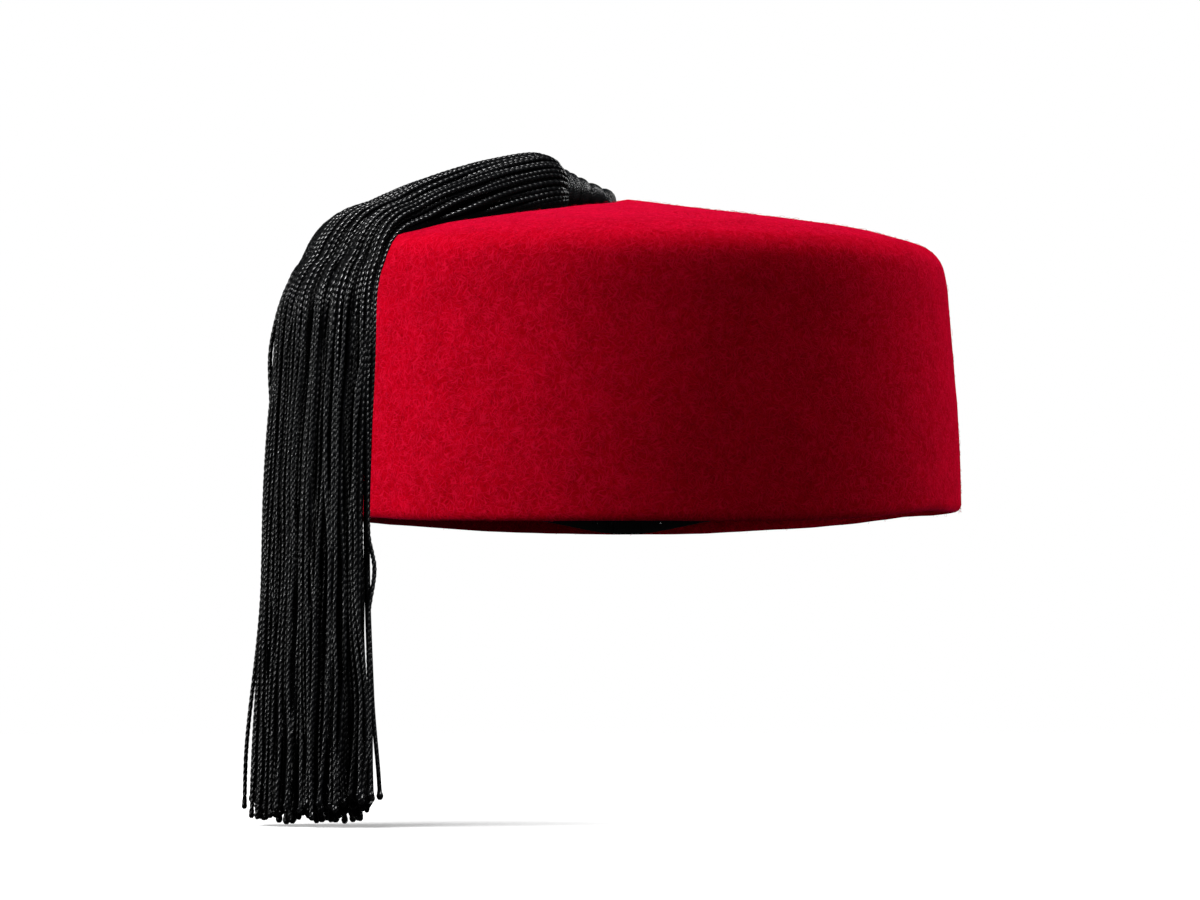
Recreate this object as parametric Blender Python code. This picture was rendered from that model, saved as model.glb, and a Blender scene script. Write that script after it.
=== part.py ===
# A low felt fez with a black cord tassel, as it sits on a head.
# Metres, +Z up. The origin is the middle of the rim opening, the front is -Y and the tassel hangs at -X.
import math

import bmesh
import bpy
import numpy as np
from mathutils import Vector

# Felt crown
RIM_RADIUS = 0.0946
CROWN_HEIGHT = 0.0936
FELT_WALL = 0.003
RIM_LEFT_RISE = 0.0042  # how much higher the rim stands at its left side than at front and back
RIM_RIGHT_RISE = 0.0058
WAVE_HEIGHT = 0.070  # the height over which that rise fades away
CROWN_TURNS = 76  # faces round the crown

# Sweatband, a ribbon sewn inside the rim
BAND_WIDTH = 0.026
BAND_THICKNESS = 0.0008
BAND_ABOVE_RIM = 0.0046
BAND_JOIN_DROP = 0.0036  # how far its lower edge dips where its two ends are sewn together
BAND_JOIN_SPREAD = 0.022  # half the length of rim over which it dips
BAND_LAP = 0.0105

# Cord through the crown
CORD_RADIUS = 0.0018
KNOT_RADIUS = 0.0042
CORD_HOLE_FROM_CENTRE = 0.0084

# Wound binding between the cord and the tassel
BINDING_HEAD_RADIUS = 0.0057
BINDING_CORD_RADIUS = 0.0025
BINDING_TURNS = 4
BINDING_GROOVE = 0.0007
BINDING_START = 0.0122  # along the crown, from its middle

# Tassel
TASSEL_START = 0.0238  # along the crown, from its middle
TASSEL_ANGLE = math.radians(33)  # turned from -X towards the front
FALL_WIDTH = 0.047
FALL_THICKNESS = 0.018
FALL_BELOW_RIM = 0.083
LOCK_COUNT = 16
LOCK_GROOVE = 0.0016
TIP_SPREAD = 0.004  # longest lock less shortest
TIP_SIDE_RISE = 0.0045  # how much shorter the locks are at the bundle's two sides
TIP_NOTCH = 0.005  # how far up the grooves open between the locks' ends
STANDOFF = 0.0006  # the tassel hangs this far off the felt

# Gap that neighbouring pieces keep
FIT_GAP = 0.0003

# Outer outline of the felt, rim to middle, as shares of crown height and rim radius
CROWN_OUTLINE = [
    {"height": 0.000, "radius": 1.000},
    {"height": 0.090, "radius": 0.999},
    {"height": 0.278, "radius": 0.9925},
    {"height": 0.470, "radius": 0.9785},
    {"height": 0.641, "radius": 0.965},
    {"height": 0.737, "radius": 0.957},
    {"height": 0.800, "radius": 0.941},
    {"height": 0.840, "radius": 0.905},
    {"height": 0.872, "radius": 0.814},
    {"height": 0.896, "radius": 0.719},
    {"height": 0.920, "radius": 0.571},
    {"height": 0.945, "radius": 0.402},
    {"height": 0.970, "radius": 0.211},
    {"height": 0.992, "radius": 0.060},
    {"height": 1.000, "radius": 0.000},
]

# Sections of the tassel. "along" is a share of the way from its start to its tips, and the two halves are
# shares of half the fall's width and thickness.
TASSEL_SECTIONS = [
    {"along": 0.000, "width": 0.250, "thickness": 0.66},
    {"along": 0.006, "width": 0.350, "thickness": 0.77},
    {"along": 0.018, "width": 0.420, "thickness": 0.84},
    {"along": 0.038, "width": 0.460, "thickness": 0.87},
    {"along": 0.090, "width": 0.530, "thickness": 0.82},
    {"along": 0.150, "width": 0.640, "thickness": 0.72},
    {"along": 0.210, "width": 0.730, "thickness": 0.59},
    {"along": 0.255, "width": 0.790, "thickness": 0.52},
    {"along": 0.300, "width": 0.840, "thickness": 0.58},
    {"along": 0.340, "width": 0.890, "thickness": 0.78},
    {"along": 0.400, "width": 0.960, "thickness": 0.97},
    {"along": 0.470, "width": 0.990, "thickness": 1.02},
    {"along": 0.640, "width": 1.030, "thickness": 1.08},
    {"along": 0.820, "width": 1.110, "thickness": 1.17},
    {"along": 1.000, "width": 1.230, "thickness": 1.26},
]


def smooth_step(low, high, value):
    share = min(max((value - low) / (high - low), 0.0), 1.0)
    return share * share * (3.0 - 2.0 * share)


def curve_through(rows, steps):
    """Points of a smooth curve through rows of coordinates, as many in each stretch as steps says."""
    rows = np.array(rows, float)
    padded = np.vstack([2 * rows[0] - rows[1], rows, 2 * rows[-1] - rows[-2]])
    points = []
    for before, start, end, after in zip(padded, padded[1:], padded[2:], padded[3:]):
        knots = np.cumsum([0.0] + [max(np.linalg.norm(b - a), 1e-9) ** 0.5
                                   for a, b in ((before, start), (start, end), (end, after))])
        for step in range(steps):
            t = knots[1] + (knots[2] - knots[1]) * step / steps
            a1 = before + (start - before) * (t - knots[0]) / (knots[1] - knots[0])
            a2 = start + (end - start) * (t - knots[1]) / (knots[2] - knots[1])
            a3 = end + (after - end) * (t - knots[2]) / (knots[3] - knots[2])
            b1 = a1 + (a2 - a1) * (t - knots[0]) / (knots[2] - knots[0])
            b2 = a2 + (a3 - a2) * (t - knots[1]) / (knots[3] - knots[1])
            points.append(b1 + (b2 - b1) * (t - knots[1]) / (knots[2] - knots[1]))
    return np.array(points + [rows[-1]])


class CrownOutline:
    """The felt's outer outline as a curve of (radius, height), read by its length from the middle."""

    def __init__(self):
        rows = [(row["radius"] * RIM_RADIUS, row["height"] * CROWN_HEIGHT) for row in CROWN_OUTLINE]
        self.points = curve_through(rows, 12)[::-1]
        steps = np.linalg.norm(np.diff(self.points, axis=0), axis=1)
        self.lengths = np.concatenate([[0.0], np.cumsum(steps)])
        self.length = self.lengths[-1]

    def at(self, length):
        """(radius, height) at a length from the middle; past the rim it runs straight down."""
        if length > self.length:
            return np.array([RIM_RADIUS, self.length - length])
        return np.array([np.interp(length, self.lengths, self.points[:, k]) for k in (0, 1)])

    def normal(self, length, reach=0.002):
        """The outward normal, smoothed over a short reach."""
        run = self.at(length + reach) - self.at(max(length - reach, 0.0))
        return np.array([-run[1], run[0]]) / np.hypot(*run)

    def radius_at(self, height):
        return float(np.interp(-height, -self.points[:, 1], self.points[:, 0]))


OUTLINE = CrownOutline()


def rim_rise(angle, height):
    """How far the wavy rim lifts the felt. It is flat longer at the front than at the back."""
    power = 3.0 - math.sin(angle)
    fade = 1.0 - smooth_step(0.0, WAVE_HEIGHT, height)
    rise = RIM_LEFT_RISE + (RIM_RIGHT_RISE - RIM_LEFT_RISE) * (1.0 + math.cos(angle)) / 2
    return rise * abs(math.cos(angle)) ** power * fade


def on_crown(radius, height, angle):
    return Vector((radius * math.cos(angle), radius * math.sin(angle), height + rim_rise(angle, height)))


def plain_material(name, colour, roughness):
    material = bpy.data.materials.new(name)
    material.use_nodes = True
    shader = material.node_tree.nodes["Principled BSDF"]
    shader.inputs["Base Color"].default_value = (*colour, 1.0)
    shader.inputs["Roughness"].default_value = roughness
    return material


def object_from(name, bm, material):
    bmesh.ops.recalc_face_normals(bm, faces=bm.faces)
    mesh = bpy.data.meshes.new(name)
    bm.to_mesh(mesh)
    bm.free()
    mesh.materials.append(material)
    mesh.shade_smooth()
    mesh.set_sharp_from_angle(angle=math.radians(50))
    piece = bpy.data.objects.new(name, mesh)
    bpy.context.scene.collection.objects.link(piece)
    return piece


def loft(bm, rings, closed_ends=True):
    """Joins rings of equally many points into one skin, with a fan at each end."""
    made = [[bm.verts.new(point) for point in ring] for ring in rings]
    count = len(made[0])
    for low, high in zip(made, made[1:]):
        for k in range(count):
            bm.faces.new((low[k], low[(k + 1) % count], high[(k + 1) % count], high[k]))
    if closed_ends:
        for ring in (made[0], made[-1]):
            middle = bm.verts.new(sum((vert.co for vert in ring), Vector()) / count)
            for k in range(count):
                bm.faces.new((ring[k], ring[(k + 1) % count], middle))
    return made


def tube(bm, stations, sides):
    """A round body through stations of (centre, radius)."""
    centres = [Vector(centre) for centre, _ in stations]
    rings = []
    side = None
    for k, (centre, (_, radius)) in enumerate(zip(centres, stations)):
        run = (centres[min(k + 1, len(centres) - 1)] - centres[max(k - 1, 0)]).normalized()
        if side is None:
            side = run.cross(Vector((0.3, 1.0, 0.2))).normalized()
        side = (side - run * side.dot(run)).normalized()
        other = run.cross(side)
        rings.append([
            centre + radius * (math.cos(turn) * side + math.sin(turn) * other)
            for turn in (2 * math.pi * j / sides for j in range(sides))
        ])
    loft(bm, rings)


def make_crown(material):
    """Felt crown: one moulded felt wall, domed on top and open at the rim."""
    stations = [0.0, 0.06, 0.14, 0.24, 0.34, 0.42, 0.475, 0.51, 0.53, 0.548, 0.565, 0.585, 0.62, 0.70,
                0.80, 0.90, 0.975]
    outer = [(OUTLINE.at(share * OUTLINE.length), OUTLINE.normal(share * OUTLINE.length)) for share in stations]
    outline = [point for point, _ in outer]
    edge_middle = np.array([RIM_RADIUS - FELT_WALL / 2, FELT_WALL / 2])
    for turn in (0, 30, 60, 90, 120, 150, 180):
        swing = math.radians(turn)
        outline.append(edge_middle + FELT_WALL / 2 * np.array([math.cos(swing), -math.sin(swing)]))
    outline += [point - FELT_WALL * normal for point, normal in reversed(outer)]
    bm = bmesh.new()
    rings = []
    for radius, height in outline[1:-1]:
        angles = [2 * math.pi * k / CROWN_TURNS for k in range(CROWN_TURNS)]
        rings.append([on_crown(radius, height, angle) for angle in angles])
    made = loft(bm, rings, closed_ends=False)
    for ring, height in ((made[0], outline[0][1]), (made[-1], outline[-1][1])):
        middle = bm.verts.new((0.0, 0.0, height))
        for k in range(CROWN_TURNS):
            bm.faces.new((ring[k], ring[(k + 1) % CROWN_TURNS], middle))
    crown = object_from("felt_crown", bm, material)
    cut_cord_hole(crown)
    return crown


def along_tassel(distance, height=0.0, side=0.0):
    """A point above the crown in the tassel's upright plane, by distance along the felt, and beside it."""
    radius, level = OUTLINE.at(distance) + OUTLINE.normal(distance) * height
    outwards = Vector((-math.cos(TASSEL_ANGLE), -math.sin(TASSEL_ANGLE), 0.0))
    across = Vector((math.sin(TASSEL_ANGLE), -math.cos(TASSEL_ANGLE), 0.0))
    return outwards * radius + across * side + Vector((0.0, 0.0, level))


def cut_cord_hole(crown):
    """The small hole that the tassel's cord goes down through."""
    middle = along_tassel(CORD_HOLE_FROM_CENTRE)
    reach = Vector((0.0, 0.0, 3 * FELT_WALL))
    bm = bmesh.new()
    tube(bm, [(middle + reach, CORD_RADIUS + FIT_GAP), (middle - reach, CORD_RADIUS + FIT_GAP)], 16)
    cutter = object_from("cord_hole_cutter", bm, crown.data.materials[0])
    cutter.hide_render = True
    cutter.display_type = "WIRE"
    hole = crown.modifiers.new("cord_hole", "BOOLEAN")
    hole.operation = "DIFFERENCE"
    hole.solver = "EXACT"
    hole.object = cutter


def make_sweatband(material):
    """Sweatband: a ribbon round the inside of the rim, its ends lapped at the back."""
    lap_angle = BAND_LAP / (RIM_RADIUS - FELT_WALL)
    join = math.pi / 2
    start = join - lap_angle / 2
    end = join + 2 * math.pi + lap_angle / 2
    rows = 3
    bm = bmesh.new()
    rings = []
    for k in range(CROWN_TURNS + 1):
        angle = start + (end - start) * k / CROWN_TURNS
        from_join = math.remainder(angle - join, 2 * math.pi) * RIM_RADIUS
        dip = BAND_JOIN_DROP * math.exp(-((from_join / BAND_JOIN_SPREAD) ** 2))
        under = (BAND_THICKNESS + FIT_GAP) * smooth_step(end - 0.5, end - lap_angle * 1.3, angle)
        ring = []
        for face, row_order in ((0.0, range(rows + 1)), (BAND_THICKNESS, reversed(range(rows + 1)))):
            for row in row_order:
                height = BAND_ABOVE_RIM - dip + BAND_WIDTH * row / rows
                radius = OUTLINE.radius_at(height) - FELT_WALL - FIT_GAP - under - face
                ring.append(on_crown(radius, height, angle))
        rings.append(ring)
    loft(bm, rings)
    return object_from("sweatband", bm, material)


def make_cord(material):
    """Tassel cord: out of the binding, round a tight bend, down through the crown and knotted inside."""
    hole = along_tassel(CORD_HOLE_FROM_CENTRE)
    start = BINDING_START - FIT_GAP
    lead = CORD_RADIUS / 3
    bend = start - lead - CORD_HOLE_FROM_CENTRE
    level = BINDING_CORD_RADIUS + FIT_GAP
    stations = [(along_tassel(start, level), CORD_RADIUS)]
    for swing in (math.radians(turn) for turn in (0, 22, 45, 68, 90)):
        distance = CORD_HOLE_FROM_CENTRE + bend * (1 - math.sin(swing))
        stations.append((along_tassel(distance, level - bend * (1 - math.cos(swing))), CORD_RADIUS))
    under_crown = hole.z - FELT_WALL - 2 * FIT_GAP
    stations.append((Vector((hole.x, hole.y, under_crown)), CORD_RADIUS))
    for swing in (math.pi * step / 7 for step in range(1, 7)):
        depth = CORD_RADIUS + KNOT_RADIUS * (1 - math.cos(swing))
        knot = KNOT_RADIUS * math.sin(swing)
        stations.append((Vector((hole.x, hole.y, under_crown - depth)), max(knot, CORD_RADIUS * 0.6)))
    bm = bmesh.new()
    tube(bm, stations, 12)
    return object_from("tassel_cord", bm, material)


def make_binding(material):
    """Tassel binding: thread wound in thick turns over the gathered cords, tapering to the cord."""
    steps = BINDING_TURNS * 4
    sides = 16
    end = TASSEL_START - FIT_GAP
    rings = []
    for step in range(steps + 1):
        share = step / steps
        widest = BINDING_CORD_RADIUS + (BINDING_HEAD_RADIUS - BINDING_CORD_RADIUS) * share
        radius = widest - BINDING_GROOVE * (1 - abs(math.sin(math.pi * BINDING_TURNS * share)))
        distance = BINDING_START + (end - BINDING_START) * share
        turns = [2 * math.pi * k / sides for k in range(sides)]
        rings.append([
            along_tassel(distance, FIT_GAP + widest + radius * math.sin(turn), radius * math.cos(turn))
            for turn in turns
        ])
    bm = bmesh.new()
    loft(bm, rings)
    return object_from("tassel_binding", bm, material)


def even_turns(count):
    """Turns round the fall's oval that part it into equal lengths."""
    turns = np.linspace(0.0, 2 * math.pi, 721)
    oval = np.c_[FALL_WIDTH * np.cos(turns), FALL_THICKNESS * np.sin(turns)]
    lengths = np.concatenate([[0.0], np.cumsum(np.linalg.norm(np.diff(oval, axis=0), axis=1))])
    return np.interp(np.arange(count) / count * lengths[-1], lengths, turns)


def make_skirt(material):
    """Tassel skirt: locks of cord, fused at their head, that lie over the dome and hang down the side."""
    total = OUTLINE.length + FALL_BELOW_RIM - TASSEL_START
    table = curve_through([[row["along"], row["width"], row["thickness"]] for row in TASSEL_SECTIONS], 6)
    shares = [row["along"] for row in TASSEL_SECTIONS]
    shares = sorted(shares + [(a + b) / 2 for a, b in zip(shares[3:], shares[4:])])
    per_lock = 4
    count = LOCK_COUNT * per_lock
    turns = even_turns(count)
    hollow = [1.0, 0.3, 0.0, 0.3]  # a groove between two locks, a flank, a crest and the other flank
    rings = []
    for share in shares:
        distance = TASSEL_START + total * share
        half_width = np.interp(share, table[:, 0], table[:, 1]) * FALL_WIDTH / 2
        half_thick = np.interp(share, table[:, 0], table[:, 2]) * FALL_THICKNESS / 2
        groove = LOCK_GROOVE * smooth_step(-0.02, 0.10, share)
        wrap = smooth_step(0.16, 0.34, share)
        near_tips = smooth_step(0.86, 1.0, share)
        ring = []
        for k, turn in enumerate(turns):
            inset = groove * hollow[k % per_lock]
            across = (half_width - inset) * math.cos(turn)
            out = STANDOFF + half_thick + (half_thick - inset) * math.sin(turn)
            lock = (k + per_lock // 2) // per_lock % LOCK_COUNT
            lift = TIP_SPREAD * (lock * 0.618 % 1.0) + TIP_SIDE_RISE * math.cos(turn) ** 2
            lift += TIP_NOTCH * hollow[k % per_lock]
            straight = along_tassel(distance, out, across)
            middle = along_tassel(distance, out)
            reach = math.hypot(middle.x, middle.y)
            swing = math.atan2(middle.y, middle.x) + across / max(reach, half_width)
            wrapped = Vector((reach * math.cos(swing), reach * math.sin(swing), middle.z))
            ring.append(straight.lerp(wrapped, wrap) + Vector((0.0, 0.0, lift * near_tips)))
        rings.append(ring)
    middle = sum(rings[-1], Vector()) / count
    rings.append([point.lerp(middle + Vector((0.0, 0.0, TIP_NOTCH)), 0.45) for point in rings[-1]])
    bm = bmesh.new()
    loft(bm, rings)
    return object_from("tassel_skirt", bm, material)


def clear_scene():
    for item in list(bpy.data.objects):
        bpy.data.objects.remove(item, do_unlink=True)


def main():
    clear_scene()
    felt = plain_material("crimson_felt", (0.42, 0.0, 0.02), 0.95)
    ribbon = plain_material("black_ribbon", (0.008, 0.009, 0.010), 0.5)
    cord = plain_material("black_cord", (0.012, 0.012, 0.013), 0.55)
    make_crown(felt)
    make_sweatband(ribbon)
    make_cord(cord)
    make_binding(cord)
    make_skirt(cord)


main()
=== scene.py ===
import math

import bpy
import numpy as np
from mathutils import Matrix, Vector, noise


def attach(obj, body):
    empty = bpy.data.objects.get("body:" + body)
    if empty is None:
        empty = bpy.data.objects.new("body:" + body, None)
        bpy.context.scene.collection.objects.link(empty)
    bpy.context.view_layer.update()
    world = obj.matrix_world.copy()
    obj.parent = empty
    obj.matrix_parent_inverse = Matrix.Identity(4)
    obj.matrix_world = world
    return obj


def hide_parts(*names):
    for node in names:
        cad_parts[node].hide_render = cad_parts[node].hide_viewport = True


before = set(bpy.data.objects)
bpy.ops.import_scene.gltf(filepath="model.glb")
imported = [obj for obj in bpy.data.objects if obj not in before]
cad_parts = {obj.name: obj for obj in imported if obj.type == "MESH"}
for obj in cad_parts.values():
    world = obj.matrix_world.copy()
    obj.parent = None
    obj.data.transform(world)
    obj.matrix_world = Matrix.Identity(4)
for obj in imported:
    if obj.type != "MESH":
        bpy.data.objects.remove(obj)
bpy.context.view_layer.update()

# A low crimson felt fez with a black cord tassel. Metres, +Z up, the front is -Y and the tassel hangs at -X.
scene = bpy.context.scene


# Helpers

def hexColour(text):
    # An sRGB hex colour as linear red, green, blue and alpha.
    parts = [int(text[k:k + 2], 16) / 255 for k in (1, 3, 5)]
    return [p / 12.92 if p <= 0.04045 else ((p + 0.055) / 1.055) ** 2.4 for p in parts] + [1.0]


def connect(tree, node, inputs):
    # Links or sets the inputs of a node. A node given as a value stands for its first output.
    for key, value in inputs.items():
        if isinstance(value, bpy.types.Node):
            value = value.outputs[0]
        if isinstance(value, bpy.types.NodeSocket):
            tree.links.new(value, node.inputs[key])
        else:
            node.inputs[key].default_value = value


def addNode(tree, kind, settings=None, inputs=None):
    node = tree.nodes.new(kind)
    for name, value in (settings or {}).items():
        setattr(node, name, value)
    connect(tree, node, inputs or {})
    return node


def calc(tree, operation, *values):
    return addNode(tree, "ShaderNodeMath", {"operation": operation}, dict(enumerate(values)))


def calcVector(tree, operation, first, second):
    slot = 3 if operation == "SCALE" else 1
    return addNode(tree, "ShaderNodeVectorMath", {"operation": operation}, {0: first, slot: second})


def noiseNode(tree, place, scale, detail):
    return addNode(tree, "ShaderNodeTexNoise", None, {"Vector": place, "Scale": scale, "Detail": detail})


def dyeRamp(tree, value, low, dark, high, light):
    # Two colours, one up to the low value and one from the high value on.
    ramp = addNode(tree, "ShaderNodeValToRGB", None, {"Fac": value})
    for element, place, colour in zip(ramp.color_ramp.elements, (low, high), (dark, light)):
        element.position = place
        element.color = hexColour(colour)
    return ramp


def objectPlace(tree):
    return addNode(tree, "ShaderNodeTexCoord").outputs["Object"]


def attribute(tree, name, kind="FLOAT"):
    return addNode(tree, "GeometryNodeInputNamedAttribute", {"data_type": kind}, {"Name": name})


def randomValue(tree, low, high, seed):
    inputs = {"Min": low, "Max": high, "Seed": seed}
    return addNode(tree, "FunctionNodeRandomValue", {"data_type": "FLOAT"}, inputs).outputs[1]


def giveOut(tree, geometry, material):
    real = addNode(tree, "GeometryNodeRealizeInstances", None, {"Geometry": geometry})
    made = addNode(tree, "GeometryNodeSetMaterial", None, {"Geometry": real, "Material": material})
    addNode(tree, "NodeGroupOutput", None, {0: made})
    return tree


def plyRidge(tree, side, wound):
    # 1 on the middle of each ply and 0 between two plies, by the place on the section and the turns so far.
    split = addNode(tree, "ShaderNodeSeparateXYZ", None, {0: side})
    angle = calc(tree, "ARCTAN2", split.outputs[1], split.outputs[0])
    turn = calc(tree, "SUBTRACT", angle, wound)
    return calc(tree, "ABSOLUTE", calc(tree, "COSINE", turn))


def smoothStep(low, high, value):
    share = np.clip((value - low) / (high - low), 0.0, 1.0)
    return share * share * (3.0 - 2.0 * share)


def curveThrough(rows, steps):
    # Points of a smooth curve through rows of coordinates.
    rows = np.array(rows, float)
    padded = np.vstack([2 * rows[0] - rows[1], rows, 2 * rows[-1] - rows[-2]])
    points = []
    for before, start, end, after in zip(padded, padded[1:], padded[2:], padded[3:]):
        spans = (start - before, end - start, after - end)
        gaps = [max(np.linalg.norm(span), 1e-9) ** 0.5 for span in spans]
        knots = np.cumsum([0.0] + gaps)
        for step in range(steps):
            t = knots[1] + gaps[1] * step / steps
            level = [before, start, end, after]
            for low, high in (((0, 1, 2), (1, 2, 3)), ((0, 1), (2, 3)), ((1,), (2,))):
                level = [a + (b - a) * (t - knots[i]) / (knots[j] - knots[i])
                         for a, b, i, j in zip(level, level[1:], low, high)]
            points.append(level[0])
    return np.array(points + [rows[-1]])


def runLengths(points):
    # How far along a line of points each of them lies.
    return np.concatenate([[0.0], np.cumsum(np.linalg.norm(np.diff(points, axis=0), axis=1))])


def meshObject(name, points, faces, material, smooth=True):
    mesh = bpy.data.meshes.new(name)
    mesh.from_pydata([tuple(p) for p in points], [], faces)
    mesh.materials.append(material)
    if smooth:
        mesh.shade_smooth()
    mesh.update()
    piece = bpy.data.objects.new(name, mesh)
    scene.collection.objects.link(piece)
    return piece


def gridFaces(rows, columns):
    # Quads of a grid of points, whose last column meets its first.
    faces = []
    for r in range(rows - 1):
        row, after = r * columns, (r + 1) * columns
        for c in range(columns):
            d = (c + 1) % columns
            faces.append((row + c, row + d, after + d, after + c))
    return faces


def flipped(faces):
    return [tuple(reversed(face)) for face in faces]


def finishNodes(piece, tree, values):
    # Runs a node tree on a piece, then keeps the result as a plain mesh.
    modifier = piece.modifiers.new(tree.name, "NODES")
    modifier.node_group = tree
    for item in tree.interface.items_tree:
        if item.item_type == "SOCKET" and item.in_out == "INPUT" and item.name in values:
            modifier[item.identifier] = values[item.name]
    piece.update_tag()
    seen = piece.evaluated_get(bpy.context.evaluated_depsgraph_get())
    made = bpy.data.meshes.new_from_object(seen)
    made.name = piece.name
    piece.modifiers.remove(modifier)
    piece.data = made
    return piece


def newTree(name, inputs):
    tree = bpy.data.node_groups.new(name, "GeometryNodeTree")
    tree.interface.new_socket("Geometry", in_out="INPUT", socket_type="NodeSocketGeometry")
    tree.interface.new_socket("Geometry", in_out="OUTPUT", socket_type="NodeSocketGeometry")
    for label, kind, value in inputs:
        socket = tree.interface.new_socket(label, in_out="INPUT", socket_type="NodeSocket" + kind)
        if value is not None:
            socket.default_value = value
    return tree, addNode(tree, "NodeGroupInput").outputs


# The crown's outline, which every piece follows

crown = {
    "rimRadius": 0.0946,
    "height": 0.0936,
    "wall": 0.003,
    "leftRise": 0.0042,  # how much higher the rim stands at its left side
    "rightRise": 0.0058,
    "waveHeight": 0.070,
    "outline": [  # shares of height and of rim radius
        (0.000, 1.000), (0.090, 0.999), (0.278, 0.9925), (0.470, 0.9785), (0.641, 0.965), (0.737, 0.957),
        (0.800, 0.941), (0.840, 0.905), (0.872, 0.814), (0.896, 0.719), (0.920, 0.571), (0.945, 0.402),
        (0.970, 0.211), (0.992, 0.060), (1.000, 0.000)],
    "turns": 288,
    "outerRows": 104,
    "innerRows": 40,
    "edgeOutside": 0.0025,
    "edgeInside": 0.0004,
    "unevenness": 0.00022,
    "dimpleDepth": 0.0006,  # where the cord goes down through the felt
    "dimpleRadius": 0.0044,
}
outlineRows = [(r * crown["rimRadius"], h * crown["height"]) for h, r in crown["outline"]]
outlinePoints = curveThrough(outlineRows, 12)[::-1]
outlineLengths = runLengths(outlinePoints)
outlineLength = outlineLengths[-1]


def crownAt(distance):
    # (radius, height) on the felt by distance from its middle; past the rim it runs straight down.
    distance = np.asarray(distance, float)
    radius = np.interp(distance, outlineLengths, outlinePoints[:, 0])
    height = np.interp(distance, outlineLengths, outlinePoints[:, 1])
    past = distance > outlineLength
    return np.stack([np.where(past, crown["rimRadius"], radius),
                     np.where(past, outlineLength - distance, height)], -1)


def crownNormal(distance, reach=0.002):
    distance = np.asarray(distance, float)
    run = crownAt(distance + reach) - crownAt(np.maximum(distance - reach, 0.0))
    return np.stack([-run[..., 1], run[..., 0]], -1) / np.linalg.norm(run, axis=-1)[..., None]


def onCrown(radius, height, angle):
    # Points of the crown, whose rim waves up a little at the sides.
    fade = 1.0 - smoothStep(0.0, crown["waveHeight"], height)
    rise = crown["leftRise"] + (crown["rightRise"] - crown["leftRise"]) * (1.0 + np.cos(angle)) / 2
    level = 1.0 - 0.24 * smoothStep(0.86, 1.0, np.cos(angle))  # it levels off at the right side
    lift = rise * np.abs(np.cos(angle)) ** (3.0 - np.sin(angle)) * level * fade
    return np.stack(np.broadcast_arrays(radius * np.cos(angle), radius * np.sin(angle), height + lift), -1)


# Materials

feltColours = {
    "dye": "#C2011A",
    "shade": "#AE0112",
    # hair: the nap's hairs are painted paler than the dye, as painted light through and on them
    "hair": "#F01840",
    "sheen": "#FF2068",
    "fibre": "#C4011A",
    "paleFibre": "#E00E3C",
    "fibreSheen": "#FF2C70",
}


def newMaterial(name):
    material = bpy.data.materials.new(name)
    material.use_nodes = True
    shader = material.node_tree.nodes["Principled BSDF"]
    return material, material.node_tree, shader


def hairLines(tree, flat, seed):
    # Fine short hairs in many directions, as stretched noise cut off high; flat is in metres.
    flatNoise = {"noise_dimensions": "2D"}
    bend = addNode(tree, "ShaderNodeTexNoise", flatNoise, {"Vector": flat, "Scale": 260.0, "Detail": 0.0})
    bend = calcVector(tree, "SUBTRACT", bend.outputs["Color"], (0.5, 0.5, 0.5))
    bend = calcVector(tree, "SCALE", bend, 0.0022)
    bent = calcVector(tree, "ADD", flat, bend)
    lines = None
    for k, turn in enumerate((8, 43, 79, 118, 152)):
        moved = addNode(tree, "ShaderNodeMapping", {"vector_type": "TEXTURE"},
                        {"Vector": bent, "Location": (seed + k * 1.7, k * 0.9, 0.0),
                         "Rotation": (0.0, 0.0, math.radians(turn)), "Scale": (1.0, 11.0, 1.0)})
        hair = addNode(tree, "ShaderNodeTexNoise", flatNoise,
                       {"Vector": moved, "Scale": 3300.0, "Detail": 0.0})
        line = addNode(tree, "ShaderNodeMapRange", None,
                       {"Value": hair, "From Min": 0.64, "From Max": 0.80})
        lines = calc(tree, "MAXIMUM", lines, line) if lines else line
    return lines


def bumpNode(tree, height, strength, distance, below=None):
    more = {"Normal": below} if below else {}
    return addNode(tree, "ShaderNodeBump", None,
                   {"Height": height, "Strength": strength, "Distance": distance, **more})


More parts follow.
